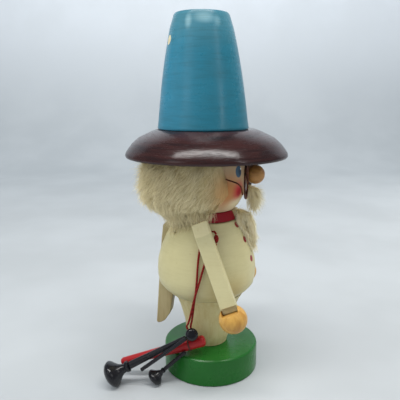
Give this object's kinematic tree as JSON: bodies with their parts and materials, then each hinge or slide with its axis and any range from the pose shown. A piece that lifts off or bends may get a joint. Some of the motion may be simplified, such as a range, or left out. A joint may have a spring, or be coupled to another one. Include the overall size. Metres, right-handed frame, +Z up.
{
  "type": "nutcracker figure",
  "caption": "Turned wooden nutcracker: a stout white-bearded figure in a tall blue hat, jaw worked by a long back lever, with a small bagpipe hung on a cord.",
  "frame": {"origin": "middle of the base disc's flat underside, on the standing surface", "axes": "+Z up, -Y the way the figure faces, -X the figure's right side"},
  "size_m": [0.1372, 0.148, 0.307],
  "materials": {
    "cream_wood": "satin paint",
    "skin_wood": "satin paint",
    "lever_wood": "varnished",
    "golden_wood": "varnished",
    "bare_wood": "plain",
    "nose_wood": "varnished",
    "green_wood": "gloss paint",
    "blue_wood": "satin paint",
    "brown_wood": "gloss stain",
    "red_wood": "satin paint",
    "bag_red": "satin paint",
    "black_wood": "gloss lacquer",
    "thread": "twisted thread",
    "cord": "twisted cord",
    "fur": "long fur",
    "wire": "dull",
    "steel": "plain"
  },
  "bodies": {
    "figure": {"trunk": "cream_wood", "torso": "cream_wood", "right_arm": "cream_wood", "left_arm": "cream_wood", "head": "skin_wood", "right_hand": "golden_wood", "left_hand": "golden_wood", "base_dowel": "bare_wood", "waist_dowel": "bare_wood", "neck_dowel_right": "bare_wood", "neck_dowel_left": "bare_wood", "hat_dowel": "bare_wood", "right_shoulder_dowel": "bare_wood", "left_shoulder_dowel": "bare_wood", "nose": "nose_wood", "base_disc": "green_wood", "hat_crown": "blue_wood", "hat_brim": "brown_wood", "collar": "red_wood", "hair": "fur", "moustache": "fur", "spectacle_rim_right": "wire", "spectacle_rim_left": "wire", "spectacle_bridge": "wire", "spectacle_temple_right": "wire", "spectacle_temple_left": "wire", "pivot_pin": "steel"},
    "lever": {"jaw_lever": "lever_wood", "beard": "fur"},
    "bagpipe": {"pipe_hub": "black_wood", "bagpipe_bag": "bag_red", "bag_lashing": "thread", "bass_drone_tube": "black_wood", "bass_drone_bell": "black_wood", "blow_stick": "black_wood", "small_drone_tube": "black_wood", "small_drone_bell": "black_wood", "cord_long": "cord", "cord_short": "cord", "cord_knot": "cord"}
  },
  "joints": [
    {"name": "jaw_hinge", "type": "hinge", "parent": "figure", "child": "lever", "pos_m": [0, 0.028, 0.131], "axis": [1, 0, 0], "range_deg": [0, 22], "deforming": ["beard"]},
    {"name": "bagpipe_swing", "type": "hinge", "parent": "figure", "child": "bagpipe", "pos_m": [0, 0, 0.1342], "axis": [1, 0, 0], "range_deg": [0, 20]}
  ]
}
